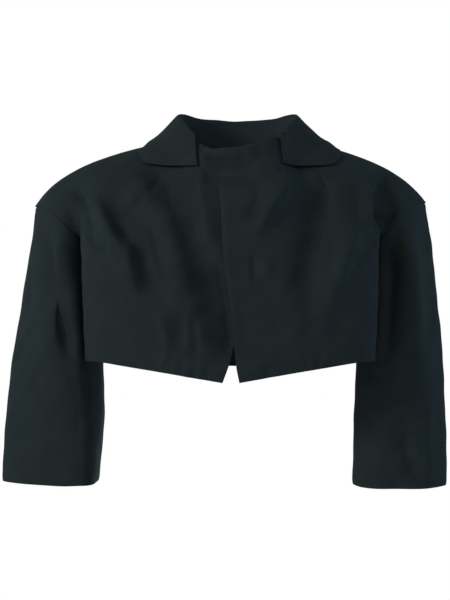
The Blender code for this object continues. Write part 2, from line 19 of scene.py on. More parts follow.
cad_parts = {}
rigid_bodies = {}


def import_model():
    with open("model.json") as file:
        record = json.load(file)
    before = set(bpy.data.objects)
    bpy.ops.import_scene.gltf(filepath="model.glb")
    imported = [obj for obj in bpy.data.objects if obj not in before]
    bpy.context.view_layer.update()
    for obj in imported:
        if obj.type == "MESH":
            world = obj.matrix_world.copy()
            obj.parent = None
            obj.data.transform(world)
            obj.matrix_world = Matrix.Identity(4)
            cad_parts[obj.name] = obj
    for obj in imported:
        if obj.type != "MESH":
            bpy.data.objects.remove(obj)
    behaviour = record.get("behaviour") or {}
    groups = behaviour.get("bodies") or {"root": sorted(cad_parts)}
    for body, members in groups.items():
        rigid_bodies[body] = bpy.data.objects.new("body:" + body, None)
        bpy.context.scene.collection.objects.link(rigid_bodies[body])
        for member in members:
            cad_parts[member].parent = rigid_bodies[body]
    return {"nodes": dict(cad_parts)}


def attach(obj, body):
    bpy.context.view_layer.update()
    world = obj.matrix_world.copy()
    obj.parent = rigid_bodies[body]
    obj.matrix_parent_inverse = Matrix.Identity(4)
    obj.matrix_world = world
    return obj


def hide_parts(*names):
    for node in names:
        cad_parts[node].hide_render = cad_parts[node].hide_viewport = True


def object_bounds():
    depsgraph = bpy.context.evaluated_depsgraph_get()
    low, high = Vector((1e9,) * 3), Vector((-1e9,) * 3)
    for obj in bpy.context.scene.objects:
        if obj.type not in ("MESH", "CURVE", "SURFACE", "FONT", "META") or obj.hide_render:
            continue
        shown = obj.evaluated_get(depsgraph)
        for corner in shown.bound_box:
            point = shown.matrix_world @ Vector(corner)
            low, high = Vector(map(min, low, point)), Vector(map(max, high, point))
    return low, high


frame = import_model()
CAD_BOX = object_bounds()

LOG = logging.getLogger("blazer")
BODY = "root"
Place = tuple[float, float]
Colour = tuple[float, float, float, float]


class Side(Enum):
    """The way that a crease faces, as a sign along Y."""

    FRONT = -1.0
    BACK = 1.0


class Grain(Enum):
    """The axis of the jacket that the warp of a piece runs along."""

    UP = 2
    ACROSS = 0


def ease(share: np.ndarray) -> np.ndarray:
    """Nothing at 0 and below, one at 1 and above, and smooth between."""
    share = np.clip(share, 0.0, 1.0)
    return share * share * (3.0 - 2.0 * share)


@dataclass(frozen=True)
class Crease:
    """A soft trough or ridge along a bent line, seen from the front or from behind.

    Places are (x, z) in metres, and the line passes through bend half-way. Its flanks are the widths
    towards -X and towards +X. The rise is above zero for a ridge and below it for a trough, and a
    crest under 2 makes its top or floor sharper. The taper is the share of the line over which each
    end fades. The line is followed in STEPS points, and nothing moves past REACH flanks from its box.
    """

    start: Place
    bend: Place
    end: Place
    flanks: tuple[float, float]
    rise: float
    crest: float = 2.0
    taper: float = 0.40

    STEPS = 40
    REACH = 3.0

    def relief(self, x: np.ndarray, z: np.ndarray) -> np.ndarray:
        """How far the crease lifts each point.

        Args:
            x: Where the points lie across the jacket.
            z: Their heights.

        Returns:
            The lift of each point along its normal.
        """
        along = np.linspace(0.0, 1.0, self.STEPS)[:, None]
        start, bend, end = (np.array(place) for place in (self.start, self.bend, self.end))
        pull = 2.0 * bend - (start + end) / 2.0
        line = (1 - along) ** 2 * start + 2 * along * (1 - along) * pull + along**2 * end
        lift = np.zeros(len(x))
        reach = self.REACH * max(self.flanks)
        low, high = line.min(axis=0) - reach, line.max(axis=0) + reach
        near = np.flatnonzero((x > low[0]) & (x < high[0]) & (z > low[1]) & (z < high[1]))
        apart = np.hypot(x[near, None] - line[:, 0], z[near, None] - line[:, 1])
        step = np.argmin(apart, axis=1)
        here = along[step, 0]
        fade = ease(here / self.taper) * ease((1 - here) / self.taper)
        flank = np.where(x[near] < line[step, 0], self.flanks[0], self.flanks[1])
        share = apart[np.arange(len(near)), step] / flank
        lift[near] = self.rise * np.exp(-(share**self.crest)) * fade
        return lift


@dataclass(frozen=True)
class Ripple:
    """The slight unevenness of cloth in use: slow waves across each other."""

    height: float
    longest: float
    shortest: float
    waves: int
    seed: int

    def relief(self, points: np.ndarray) -> np.ndarray:
        """How far the waves lift each point.

        Args:
            points: The points, a row each.

        Returns:
            The lift of each point along its normal.
        """
        draw = np.random.default_rng(self.seed)
        lift = np.zeros(len(points))
        for length in np.linspace(self.longest, self.shortest, self.waves):
            way = draw.normal(size=3)
            way /= np.linalg.norm(way)
            lift += np.sin(points @ way * (2 * math.pi / length) + draw.uniform(0, 2 * math.pi))
        return lift * self.height / math.sqrt(self.waves)


@dataclass(frozen=True)
class Shade:
    """A value in a node tree that takes part in arithmetic."""

    bench: "Bench"
    socket: bpy.types.NodeSocket

    def _math(self, operation: str, first: Any, second: Any) -> "Shade":
        """A Math node on two values."""
        return self.bench.node("ShaderNodeMath", {"operation": operation}, {0: first, 1: second})

    def __add__(self, other: Any) -> "Shade":
        """The sum."""
        return self._math("ADD", self, other)

    __radd__ = __add__

    def __sub__(self, other: Any) -> "Shade":
        """The difference."""
        return self._math("SUBTRACT", self, other)

    def __rsub__(self, other: Any) -> "Shade":
        """The difference, the other way round."""
        return self._math("SUBTRACT", other, self)

    def __mul__(self, other: Any) -> "Shade":
        """The product."""
        return self._math("MULTIPLY", self, other)

    __rmul__ = __mul__

    def sine(self) -> "Shade":
        """The sine of the value."""
        return self.bench.node("ShaderNodeMath", {"operation": "SINE"}, {0: self})

    def ramp(self, low: float, high: float) -> "Shade":
        """Nothing at low, one at high, and smooth between."""
        return self.bench.node(
            "ShaderNodeMapRange",
            {"interpolation_type": "SMOOTHSTEP"},
            {"Value": self, "From Min": low, "From Max": high},
        )


class Bench:
    """Where a node tree is put together."""

    def __init__(self, tree: bpy.types.NodeTree) -> None:
        """Starts on an empty tree."""
        tree.nodes.clear()
        self.tree = tree

    def node(self, kind: str, settings: dict[str, Any], sockets: dict[Any, Any], out: Any = 0) -> Shade:
        """Adds a node.

        Args:
            kind: The node's type.
            settings: Its settings by name, which are set first.
            sockets: A value or a Shade for each input, by name or number.
            out: The output that is returned, by name or number.

        Returns:
            The chosen output, or the first input of a node that has no output.
        """
        made = self.tree.nodes.new(kind)
        for name, value in settings.items():
            setattr(made, name, value)
        for name, value in sockets.items():
            if isinstance(value, Shade):
                self.tree.links.new(value.socket, made.inputs[name])
            else:
                made.inputs[name].default_value = value
        return Shade(self, made.outputs[out] if made.outputs else made.inputs[0])


@dataclass(frozen=True)
class Suiting:
    """Matte teal-black suiting: a fine twill with a short nap and a soft sheen.

    Thread, twill, nap, mottle, groove and the depths are in metres. Heights, wear, groove shade and
    gloss are the shares that ribs, threads, nap, mottle and groove have in the bump, the colour and
    the smoothness. The groove shade is painted shade: the cloth is coloured darker in each seam groove.
    """

    name: str = "teal_black_suiting"
    deep: Colour = (0.0108, 0.0158, 0.0174, 1.0)
    worn_and_unshaded: Colour = (0.0158, 0.0222, 0.0240, 1.0)
    sheen_tint: Colour = (0.50, 0.74, 0.82, 1.0)
    sheen: float = 0.03
    sheen_roughness: float = 0.45
    specular: float = 0.12
    smoothest: float = 0.72
    roughest: float = 0.90
    thread: float = 0.0007
    twill: float = 0.0014
    nap: float = 0.0032
    mottle: float = 0.030
    weave_depth: float = 0.00010
    groove: float = 0.0030
    groove_depth: float = 0.0010
    rib_height: float = 0.5
    thread_height: float = 0.3
    nap_height: float = 1.6
    bump_strength: float = 0.6
    mottle_wear: float = 0.45
    nap_wear: float = 0.45
    rib_wear: float = 0.08
    # painted shade along the seams: how much lighter the cloth is coloured away from each seam groove than
    # in it
    groove_shade: float = 0.3
    wear_and_shade_start: float = 0.2
    wear_and_shade_range: tuple[float, float] = (0.15, 0.95)
    mottle_gloss: float = 0.6
    nap_gloss: float = 0.4
    nap_detail: float = 3.0
    mottle_detail: float = 2.0
    noise_roughness: float = 0.55

    def material(self) -> bpy.types.Material:
        """Makes the finish, with a weave that follows each piece's own flat layout in metres.

        Returns:
            The material.
        """
        made = bpy.data.materials.new(self.name)
        made.use_nodes = True
        bench = Bench(made.node_tree)
        flat = bench.node("ShaderNodeUVMap", {"uv_map": "flat"}, {})
        across = bench.node("ShaderNodeSeparateXYZ", {}, {0: flat}, "X")
        along = bench.node("ShaderNodeSeparateXYZ", {}, {0: flat}, "Y")
        nap = self._noise(bench, flat, self.nap, self.nap_detail)
        mottle = self._noise(bench, flat, self.mottle, self.mottle_detail)
        turn = 2 * math.pi
        threads = (across * (turn / self.thread)).sine() * (along * (turn / self.thread)).sine()
        ribs = ((across + along) * (turn / self.twill)).sine()
        seam = bench.node("ShaderNodeAttribute", {"attribute_name": "seam"}, {}, "Fac")
        groove = seam.ramp(0.0, self.groove)
        weave = ribs * self.rib_height + threads * self.thread_height + nap * self.nap_height
        height = weave * self.weave_depth + groove * self.groove_depth
        bump = bench.node(
            "ShaderNodeBump", {}, {"Height": height, "Strength": self.bump_strength, "Distance": 1.0}
        )
        wear = mottle * self.mottle_wear + nap * self.nap_wear + ribs * self.rib_wear
        # painted shade: within the groove width of each seam the colour turns to the deep tone, as if the
        # groove were shaded
        worn_and_unshaded = (wear + groove * self.groove_shade - self.wear_and_shade_start).ramp(*self.wear_and_shade_range)
        colour = bench.node(
            "ShaderNodeMix", {"data_type": "RGBA"}, {"Factor": worn_and_unshaded, 6: self.deep, 7: self.worn_and_unshaded}, 2
        )
        gloss = mottle * self.mottle_gloss + nap * self.nap_gloss
        rough = self.roughest - (self.roughest - self.smoothest) * gloss
        surface = bench.node(
            "ShaderNodeBsdfPrincipled",
            {},
            {
                "Base Color": colour,
                "Roughness": rough,
                "Normal": bump,
                "Specular IOR Level": self.specular,
                "Sheen Weight": self.sheen,
                "Sheen Roughness": self.sheen_roughness,
                "Sheen Tint": self.sheen_tint,
            },
        )
        bench.node("ShaderNodeOutputMaterial", {}, {"Surface": surface})
        return made

    def _noise(self, bench: Bench, flat: Shade, grain: float, detail: float) -> Shade:
        """Noise on the flat cloth, with spots about as large as grain."""
        return bench.node(
            "ShaderNodeTexNoise",
            {"noise_dimensions": "2D"},
            {"Vector": flat, "Scale": 1.0 / grain, "Detail": detail, "Roughness": self.noise_roughness},
        )


def only(piece: bpy.types.Object) -> None:
    """Makes a piece the only selected object, and the active one.

    Args:
        piece: The piece to work on.
    """
    for other in bpy.context.view_layer.objects:
        other.select_set(other is piece)
    bpy.context.view_layer.objects.active = piece


def vertices_of(mesh: bpy.types.Mesh) -> np.ndarray:
    """Reads where a mesh's points are.

    Args:
        mesh: The mesh.

    Returns:
        The points, a row each.
    """
    points = np.empty(len(mesh.vertices) * 3)
    mesh.vertices.foreach_get("co", points)
    return points.reshape(-1, 3)


def normals_of(mesh: bpy.types.Mesh) -> np.ndarray:
    """Reads the normals at a mesh's points.

    Args:
        mesh: The mesh.

    Returns:
        The normals, a row each.
    """
    normals = np.empty(len(mesh.vertices) * 3)
    mesh.vertex_normals.foreach_get("vector", normals)
    return normals.reshape(-1, 3)


def rim_edges(mesh: bpy.types.Mesh) -> np.ndarray:
    """Finds the open edges of a mesh, which only one face uses.

    Args:
        mesh: The mesh.

    Returns:
        The numbers of each open edge's two points, a row each.
    """
    uses = np.zeros(len(mesh.edges), int)
    sides = np.empty(len(mesh.loops), int)
    mesh.loops.foreach_get("edge_index", sides)
    np.add.at(uses, sides, 1)
    ends = np.empty(len(mesh.edges) * 2, int)
    mesh.edges.foreach_get("vertices", ends)
    return ends.reshape(-1, 2)[uses == 1]


def flat_area(mesh: bpy.types.Mesh, flat: np.ndarray) -> float:
    """Adds up the area of a flat layout.

    Args:
        mesh: The mesh that is laid flat.
        flat: The flat place of each face corner, a row each.

    Returns:
        The area of all faces in the layout.
    """
    total = 0.0
    for face in mesh.polygons:
        ring = flat[list(face.loop_indices)]
        after = np.roll(ring, -1, axis=0)
        total += abs(np.sum(ring[:, 0] * after[:, 1] - ring[:, 1] * after[:, 0])) / 2
    return total


def nearest(points: np.ndarray, targets: np.ndarray) -> tuple[np.ndarray, np.ndarray]:
    """The number of each point's nearest target, and how far off it is.

    Args:
        points: The points, a row each.
        targets: The targets, a row each.

    Returns:
        The numbers and the distances.
    """
    tree = KDTree(len(targets))
    for index, target in enumerate(targets):
        tree.insert(target, index)
    tree.balance()
    found = [tree.find(point)[1:] for point in points]
    return np.array([index for index, _ in found]), np.array([apart for _, apart in found])


@dataclass
class Panel:
    """A piece of cloth on the outer skin of its solid.

    The cut is the flat width, length and area of what shows of it; nothing reads it. The skin starts
    at the face that lies farthest out, and goes on over faces that turn by less than the skin angle.
    Edges closer to a neighbour's than the seam reach are drawn to it, and the cloth beside them over
    the seam give.
    Creases die out within the seam hold. Seams sink by the seam dip and open edges by the edge roll,
    both over the edge width. Facing is how soon a crease shows as the cloth turns to its side. Points
    of the solid that are closer than MERGE are one.
    """

    node: str
    cut: tuple[float, float, float]
    skin_angle: float
    farthest: tuple[float, float, float]
    creases: dict[Side, tuple[Crease, ...]]
    ripple: Ripple
    grain: Grain = Grain.UP
    rests_on: tuple[str, ...] = ()
    sewn_to: tuple[str, ...] = ()
    thickness: float = 0.0015
    levels: int = 3
    seam_reach: float = 0.0060
    seam_give: float = 0.020
    seam_hold: float = 0.012
    seam_dip: float = 0.0016
    edge_roll: float = 0.0006
    edge_width: float = 0.0040
    facing: float = 1.6
    smooth_angle: float = math.radians(50.0)
    piece: bpy.types.Object | None = field(default=None, init=False)
    rim: np.ndarray | None = field(default=None, init=False)
    sewn: np.ndarray | None = field(default=None, init=False)

    MERGE = 1e-5

    def build(self) -> None:
        """Makes the smooth skin of the piece, which rides on the body in place of its solid."""
        source = frame["nodes"][self.node]
        self.piece = bpy.data.objects.new(f"{self.node}_cloth", source.data.copy())
        bpy.context.scene.collection.objects.link(self.piece)
        self.piece.data.materials.clear()
        only(self.piece)
        self._take_skin()
        self._lay_flat()
        self._smooth()
        self.rim = np.unique(rim_edges(self.piece.data))
        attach(self.piece, BODY)
        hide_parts(self.node)

    def rim_points(self) -> np.ndarray:
        """The points along the skin's open edges."""
        return vertices_of(self.piece.data)[self.rim]

    def sew(self, neighbours: list[np.ndarray]) -> None:
        """Draws the edges that lie along the neighbours' edges half-way to them.

        Args:
            neighbours: The edge points of each piece that this one is sewn to, a row each.
        """
        others = np.concatenate(neighbours)
        mesh = self.piece.data
        points = vertices_of(mesh)
        beside, apart = nearest(points[self.rim], others)
        close = 1 - ease(2 * apart / self.seam_reach - 1)
        self.sewn = close > 0.5
        shift = (others[beside] - points[self.rim]) / 2 * close[:, None]
        own, inside = nearest(points, points[self.rim])
        points += shift[own] * (1 - ease(inside / self.seam_give))[:, None]
        mesh.vertices.foreach_set("co", points.ravel())
        mesh.update()
        LOG.info("%s: %d of %d edge points sewn", self.node, self.sewn.sum(), len(self.rim))

    def shape(self) -> None:
        """Creases the sewn skin and gives it the thickness of cloth."""
        only(self.piece)
        self._crease()
        self._thicken()

    def dress(self, material: bpy.types.Material) -> None:
        """Gives the piece its finish.

        Args:
            material: The suiting.
        """
        self.piece.data.materials.append(material)

    def _take_skin(self) -> None:
        """Keeps only the outer skin of the solid, as quads."""
        bpy.ops.object.mode_set(mode="EDIT")
        bpy.ops.mesh.select_mode(type="FACE")
        bpy.ops.mesh.select_all(action="SELECT")
        bpy.ops.mesh.remove_doubles(threshold=self.MERGE)
        bpy.ops.mesh.select_all(action="DESELECT")
        bpy.ops.object.mode_set(mode="OBJECT")
        way = Vector(self.farthest)
        outermost = max(self.piece.data.polygons, key=lambda face: face.center.dot(way))
        outermost.select = True
        bpy.ops.object.mode_set(mode="EDIT")
        bpy.ops.mesh.faces_select_linked_flat(sharpness=self.skin_angle)
        bpy.ops.mesh.select_all(action="INVERT")
        bpy.ops.mesh.delete(type="FACE")
        bpy.ops.mesh.select_all(action="SELECT")
        bpy.ops.mesh.tris_convert_to_quads(face_threshold=math.pi, shape_threshold=math.pi)
        bpy.ops.object.mode_set(mode="OBJECT")
        LOG.info("%s: skin of %d faces", self.node, len(self.piece.data.polygons))

    def _cut_open(self) -> None:
        """Marks where a closed piece is slit before it is laid flat. An open one needs no slit."""

    def _lay_flat(self) -> None:
        """Gives the skin a flat layout in metres, with its grain upright."""
        self._cut_open()
        mesh = self.piece.data
        while mesh.uv_layers:
            mesh.uv_layers.remove(mesh.uv_layers[0])
        mesh.uv_layers.new(name="flat")
        bpy.ops.object.mode_set(mode="EDIT")
        bpy.ops.mesh.select_all(action="SELECT")
        bpy.ops.uv.unwrap(method="ANGLE_BASED", margin=0.0)
        bpy.ops.object.mode_set(mode="OBJECT")
        layer = mesh.uv_layers["flat"].uv
        flat = np.empty(len(layer) * 2)
        layer.foreach_get("vector", flat)
        flat = flat.reshape(-1, 2)
        corner = np.empty(len(mesh.loops), int)
        mesh.loops.foreach_get("vertex_index", corner)
        height = vertices_of(mesh)[corner, self.grain.value]
        slope = np.linalg.lstsq(flat - flat.mean(axis=0), height - height.mean(), rcond=None)[0]
        up = slope / np.linalg.norm(slope)
        flat = np.stack([flat @ (up[1], -up[0]), flat @ up], axis=1)
        true_area = sum(face.area for face in mesh.polygons)
        flat *= math.sqrt(true_area / flat_area(mesh, flat))
        flat -= flat.min(axis=0)
        layer.foreach_set("vector", flat.ravel())
        LOG.info("%s: flat %.3f by %.3f m, area %.4f m2", self.node, *flat.max(axis=0), true_area)

    def _smooth(self) -> None:
        """Rounds the faceted skin."""
        bpy.ops.object.modifier_add(type="SUBSURF")
        rounding = self.piece.modifiers[-1]
        rounding.levels = rounding.render_levels = self.levels
        rounding.boundary_smooth = "PRESERVE_CORNERS"
        bpy.ops.object.modifier_apply(modifier=rounding.name)

    def _crease(self) -> None:
        """Moves the skin's points along their normals, for creases, ripples, seams and turned edges."""
        mesh = self.piece.data
        points, normals = vertices_of(mesh), normals_of(mesh)
        seam = self._rim_distance(points, self.sewn)
        edge = self._rim_distance(points, ~self.sewn)
        lift = self.ripple.relief(points)
        for side, creases in self.creases.items():
            turned = ease(normals[:, 1] * side.value * self.facing)
            for crease in creases:
                lift += turned * crease.relief(points[:, 0], points[:, 2])
        lift *= ease(seam / self.seam_hold)
        lift -= self.seam_dip * (1 - ease(seam / self.edge_width))
        lift -= self.edge_roll * (1 - ease(edge / self.edge_width))
        points += normals * lift[:, None]
        mesh.vertices.foreach_set("co", points.ravel())
        layer = mesh.attributes.new("seam", "FLOAT", "POINT")
        layer.data.foreach_set("value", seam.astype(np.float32))
        mesh.update()

    def _rim_distance(self, points: np.ndarray, chosen: np.ndarray) -> np.ndarray:
        """How far each point lies from the chosen part of the rim, or a metre where there is none.

        Args:
            points: The points of the skin, a row each.
            chosen: Which points of the rim count.

        Returns:
            The distances.
        """
        if not chosen.any():
            return np.ones(len(points))
        return nearest(points, points[self.rim[chosen]])[1]

    def _thicken(self) -> None:
        """Gives the skin the thickness of cloth, inwards."""
        bpy.ops.object.modifier_add(type="SOLIDIFY")
        wall = self.piece.modifiers[-1]
        wall.thickness = self.thickness
        wall.offset = -1.0
        wall.use_quality_normals = True
        bpy.ops.object.modifier_apply(modifier=wall.name)
        bpy.ops.object.shade_smooth_by_angle(angle=self.smooth_angle)


@dataclass
class Sleeve(Panel):
    """A sleeve, a tube that is slit along the underarm before it is laid flat."""

    def _cut_open(self) -> None:
        """Marks the underarm seam, from the armhole's lowest point along the sleeve to the cuff."""
        mesh = self.piece.data
        points = vertices_of(mesh)
        rim = np.unique(rim_edges(mesh))
        upper = rim[points[rim, 2] > points[:, 2].mean()]
        first = min(upper, key=lambda index: points[index, 2])
        bpy.ops.object.mode_set(mode="EDIT")
        bpy.ops.mesh.select_mode(type="EDGE")
        bpy.ops.mesh.select_all(action="DESELECT")
        bpy.ops.object.mode_set(mode="OBJECT")
        for edge in mesh.edges:
            edge.select = first in edge.vertices[:] and not np.isin(edge.vertices[:], rim).all()
        bpy.ops.object.mode_set(mode="EDIT")
        bpy.ops.mesh.loop_multi_select(ring=False)
        bpy.ops.mesh.mark_seam(clear=False)
        bpy.ops.object.mode_set(mode="OBJECT")


LEFT_FRONT_CREASES = (
    Crease((0.070, -0.036), (0.050, -0.078), (0.025, -0.124), (0.011, 0.008), 0.0112, 1.8, 0.30),
    Crease((0.040, -0.044), (0.032, -0.074), (0.016, -0.108), (0.009, 0.006), -0.0056),
    Crease((0.066, -0.036), (0.063, -0.060), (0.057, -0.080), (0.006, 0.008), 0.0027),
    Crease((0.104, -0.024), (0.113, -0.038), (0.121, -0.057), (0.003, 0.003), -0.0022, 1.5),
    Crease((0.123, -0.052), (0.126, -0.072), (0.134, -0.094), (0.008, 0.005), 0.0027, 1.6),
    Crease((0.110, -0.026), (0.114, -0.082), (0.104, -0.146), (0.032, 0.012), -0.0132, 2.0, 0.45),
    Crease((0.162, -0.038), (0.158, -0.074), (0.150, -0.114), (0.014, 0.006), -0.0046),
    Crease((0.170, -0.042), (0.169, -0.078), (0.164, -0.118), (0.009, 0.006), 0.0060, 1.7),
    Crease((0.202, -0.034), (0.183, -0.068), (0.183, -0.122), (0.006, 0.022), -0.0130, 1.7, 0.25),
    Crease((0.108, -0.096), (0.102, -0.150), (0.088, -0.206), (0.026, 0.012), -0.0092, 2.0, 0.45),
    Crease((0.152, -0.084), (0.136, -0.142), (0.112, -0.208), (0.018, 0.012), 0.0125, 1.8, 0.42),
    Crease((0.146, -0.124), (0.140, -0.153), (0.130, -0.190), (0.006, 0.014), -0.0020),
    Crease((0.026, -0.130), (0.027, -0.153), (0.026, -0.175), (0.003, 0.006), -0.0024),
    Crease((0.043, -0.132), (0.043, -0.155), (0.042, -0.176), (0.008, 0.008), 0.0031),
    Crease((0.181, -0.110), (0.164, -0.136), (0.142, -0.156), (0.004, 0.005), -0.0041, 1.5, 0.25),
    Crease((0.144, -0.150), (0.143, -0.161), (0.144, -0.174), (0.003, 0.004), -0.0017),
    Crease((0.138, -0.188), (0.129, -0.221), (0.125, -0.256), (0.010, 0.014), -0.0034),
    Crease((0.083, -0.200), (0.079, -0.229), (0.071, -0.262), (0.014, 0.010), 0.0031),
    Crease((0.010, -0.009), (0.014, -0.017), (0.020, -0.024), (0.006, 0.006), -0.0026),
    Crease((0.036, -0.036), (0.050, -0.036), (0.064, -0.036), (0.003, 0.003), -0.0012),
    Crease((0.061, -0.026), (0.061, -0.035), (0.061, -0.044), (0.003, 0.003), -0.0012),
    Crease((0.096, -0.254), (0.096, -0.266), (0.096, -0.277), (0.004, 0.005), 0.0019),
    Crease((0.113, -0.252), (0.113, -0.264), (0.113, -0.275), (0.005, 0.004), 0.0016),
    Crease((0.045, -0.264), (0.045, -0.278), (0.046, -0.290), (0.005, 0.007), -0.0022),
    Crease((-0.012, -0.036), (-0.003, -0.150), (0.006, -0.268), (0.006, 0.010), 0.0020, 2.0, 0.12),
)
RIGHT_FRONT_CREASES = (
    Crease((-0.185, -0.099), (-0.165, -0.120), (-0.139, -0.143), (0.005, 0.004), -0.0038, 1.5, 0.25),
    Crease((-0.196, -0.050), (-0.177, -0.082), (-0.166, -0.122), (0.006, 0.005), -0.0062, 1.6, 0.25),
    Crease((-0.166, -0.060), (-0.148, -0.100), (-0.122, -0.146), (0.012, 0.007), 0.0100, 1.8),
    Crease((-0.140, -0.048), (-0.130, -0.090), (-0.113, -0.135), (0.017, 0.009), -0.0120, 1.8),
    Crease((-0.113, -0.084), (-0.097, -0.140), (-0.078, -0.208), (0.020, 0.010), -0.0140, 2.0, 0.42),
    Crease((-0.098, -0.056), (-0.115, -0.078), (-0.124, -0.100), (0.005, 0.005), -0.0034),
    Crease((-0.125, -0.104), (-0.120, -0.147), (-0.112, -0.194), (0.014, 0.010), 0.0075, 1.8),
    Crease((-0.086, -0.058), (-0.072, -0.122), (-0.052, -0.194), (0.020, 0.014), 0.0095),
    Crease((-0.062, -0.046), (-0.039, -0.115), (-0.016, -0.196), (0.022, 0.014), -0.0050),
    Crease((-0.022, -0.138), (-0.006, -0.205), (0.000, -0.274), (0.030, 0.008), -0.0165, 2.0, 0.28),
    Crease((-0.037, -0.044), (-0.033, -0.090), (-0.027, -0.138), (0.006, 0.009), 0.0044),
    Crease((-0.083, -0.038), (-0.092, -0.049), (-0.101, -0.064), (0.004, 0.004), -0.0024, 1.6),
    Crease((-0.084, -0.204), (-0.078, -0.233), (-0.073, -0.260), (0.005, 0.008), 0.0041),
    Crease((-0.062, -0.198), (-0.058, -0.227), (-0.060, -0.256), (0.010, 0.005), -0.0041),
    Crease((-0.046, -0.208), (-0.041, -0.239), (-0.040, -0.268), (0.009, 0.005), -0.0031),
    Crease((-0.072, -0.250), (-0.079, -0.263), (-0.085, -0.275), (0.004, 0.004), 0.0019),
    Crease((-0.064, -0.258), (-0.065, -0.271), (-0.066, -0.283), (0.004, 0.004), 0.0017),
    Crease((-0.050, -0.260), (-0.050, -0.275), (-0.052, -0.288), (0.005, 0.004), 0.0022),
    Crease((-0.035, -0.264), (-0.036, -0.278), (-0.037, -0.291), (0.004, 0.005), 0.0016),
    Crease((-0.044, -0.044), (-0.029, -0.044), (-0.014, -0.044), (0.003, 0.003), -0.0012),
    Crease((-0.042, -0.034), (-0.042, -0.049), (-0.042, -0.064), (0.003, 0.003), -0.0014),
    Crease((-0.0155, -0.034), (-0.006, -0.150), (0.003, -0.270), (0.010, 0.010), -0.0040, 2.0, 0.12),
)
NECK_CREASES = (
    Crease((-0.036, -0.006), (-0.004, -0.014), (0.036, -0.006), (0.009, 0.010), 0.0085, 2.0, 0.20),
    Crease((-0.038, -0.034), (-0.004, -0.037), (0.038, -0.034), (0.013, 0.013), -0.0100, 2.0, 0.25),
)
BACK_CREASES = (
    Crease((-0.176, -0.092), (-0.140, -0.122), (-0.094, -0.140), (0.008, 0.008), -0.0052, 1.7),
    Crease((-0.172, -0.115), (-0.142, -0.146), (-0.104, -0.176), (0.010, 0.008), 0.0047, 1.6),
    Crease((-0.121, -0.052), (-0.108, -0.120), (-0.084, -0.196), (0.008, 0.018), -0.0073),
    Crease((-0.082, -0.068), (-0.068, -0.140), (-0.060, -0.226), (0.016, 0.010), 0.0049),
    Crease((-0.034, -0.048), (-0.030, -0.128), (-0.037, -0.222), (0.009, 0.016), -0.0052),
    Crease((0.010, -0.056), (0.014, -0.140), (0.007, -0.236), (0.014, 0.018), 0.0039),
    Crease((0.056, -0.060), (0.058, -0.130), (0.049, -0.214), (0.016, 0.008), -0.0062),
    Crease((0.094, -0.058), (0.090, -0.124), (0.076, -0.198), (0.009, 0.014), 0.0052, 1.7),
    Crease((0.129, -0.056), (0.118, -0.112), (0.102, -0.176), (0.018, 0.008), -0.0068),
    Crease((0.178, -0.098), (0.146, -0.128), (0.108, -0.152), (0.009, 0.008), 0.0044, 1.6),
    Crease((0.174, -0.122), (0.150, -0.146), (0.120, -0.170), (0.007, 0.008), -0.0044),
    Crease((-0.118, -0.200), (-0.112, -0.232), (-0.116, -0.268), (0.010, 0.013), 0.0029),
    Crease((0.112, -0.196), (0.104, -0.230), (0.106, -0.270), (0.012, 0.009), -0.0029),
)
RIGHT_SLEEVE_FRONT = (
    Crease((-0.240, -0.070), (-0.230, -0.190), (-0.225, -0.440), (0.022, 0.014), 0.0042, 1.8, 0.15),
    Crease((-0.233, -0.098), (-0.217, -0.185), (-0.187, -0.280), (0.010, 0.009), -0.0130, 1.8, 0.25),
    Crease((-0.203, -0.108), (-0.198, -0.173), (-0.187, -0.230), (0.010, 0.010), 0.0045),
    Crease((-0.249, -0.146), (-0.251, -0.179), (-0.250, -0.212), (0.003, 0.005), -0.0019),
    Crease((-0.186, -0.275), (-0.184, -0.350), (-0.184, -0.434), (0.018, 0.014), -0.0075, 2.0, 0.20),
    Crease((-0.184, -0.130), (-0.181, -0.210), (-0.178, -0.290), (0.012, 0.012), 0.0060),
)
RIGHT_SLEEVE_BACK = (
    Crease((-0.222, -0.100), (-0.232, -0.180), (-0.238, -0.262), (0.008, 0.014), -0.0046),
    Crease((-0.196, -0.140), (-0.212, -0.200), (-0.236, -0.242), (0.010, 0.008), 0.0034, 1.7),
    Crease((-0.186, -0.236), (-0.208, -0.262), (-0.238, -0.276), (0.009, 0.009), -0.0036),
    Crease((-0.227, -0.280), (-0.222, -0.350), (-0.224, -0.432), (0.016, 0.010), 0.0030, 1.8, 0.30),
)
LEFT_SLEEVE_FRONT = (
    Crease((0.219, -0.080), (0.224, -0.167), (0.227, -0.280), (0.018, 0.014), 0.0032),
    Crease((0.198, -0.120), (0.195, -0.200), (0.190, -0.282), (0.007, 0.010), -0.0078, 2.0, 0.25),
    Crease((0.214, -0.352), (0.225, -0.389), (0.241, -0.432), (0.012, 0.006), -0.0054, 1.8, 0.30),
    Crease((0.245, -0.308), (0.246, -0.364), (0.248, -0.436), (0.006, 0.009), 0.0038, 1.8, 0.30),
    Crease((0.168, -0.278), (0.186, -0.288), (0.206, -0.294), (0.007, 0.007), -0.0026),
    Crease((0.200, -0.300), (0.196, -0.344), (0.200, -0.392), (0.012, 0.012), 0.0029),
)
LEFT_SLEEVE_BACK = (
    Crease((0.220, -0.096), (0.228, -0.172), (0.234, -0.256), (0.014, 0.008), -0.0046),
    Crease((0.192, -0.136), (0.208, -0.196), (0.231, -0.238), (0.008, 0.010), 0.0034, 1.7),
    Crease((0.180, -0.242), (0.202, -0.266), (0.230, -0.282), (0.009, 0.009), -0.0036),
    Crease((0.214, -0.290), (0.212, -0.356), (0.216, -0.432), (0.010, 0.016), 0.0030, 1.8, 0.30),
)
COLLAR_FRONT = (
    Crease((-0.085, 0.010), (-0.066, -0.006), (-0.050, -0.016), (0.010, 0.010), 0.0010),
    Crease((0.104, 0.012), (0.090, -0.004), (0.076, -0.016), (0.010, 0.010), 0.0010),
)
